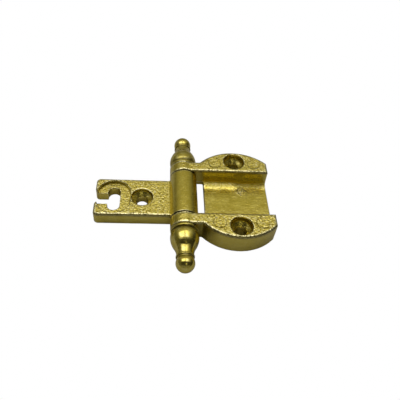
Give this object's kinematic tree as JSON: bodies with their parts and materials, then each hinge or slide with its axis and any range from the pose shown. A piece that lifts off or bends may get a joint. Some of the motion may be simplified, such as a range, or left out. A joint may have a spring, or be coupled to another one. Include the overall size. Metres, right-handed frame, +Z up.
{
  "type": "inset hinge",
  "caption": "Inset cabinet hinge: a slotted arm leaf turns on a pin with ball-ended finials and folds into the channel of a wing leaf with arc-shaped cheeks.",
  "frame": {"origin": "on the back of the arm leaf, under the middle of the hinge pin", "axes": "+X from the pin towards the wing leaf's end, +Y along the pin, +Z up from the leaves' backs, with the hinge open flat"},
  "size_m": [0.064, 0.0626, 0.01],
  "materials": {
    "cast_brass": "grainy cast brass, satin on its machined faces",
    "turned_brass": "turned and lightly polished brass",
    "pin_steel": "drawn steel wire"
  },
  "bodies": {
    "wing": {"wing_leaf": "cast_brass", "hinge_pin": "pin_steel", "finial_front": "turned_brass", "finial_rear": "turned_brass"},
    "arm": {"arm_leaf": "cast_brass"}
  },
  "joints": [
    {"name": "leaf_hinge", "type": "hinge", "parent": "wing", "child": "arm", "pos_m": [0, 0, 0.005], "axis": [0, 1, 0], "range_deg": [-90, 180]}
  ]
}
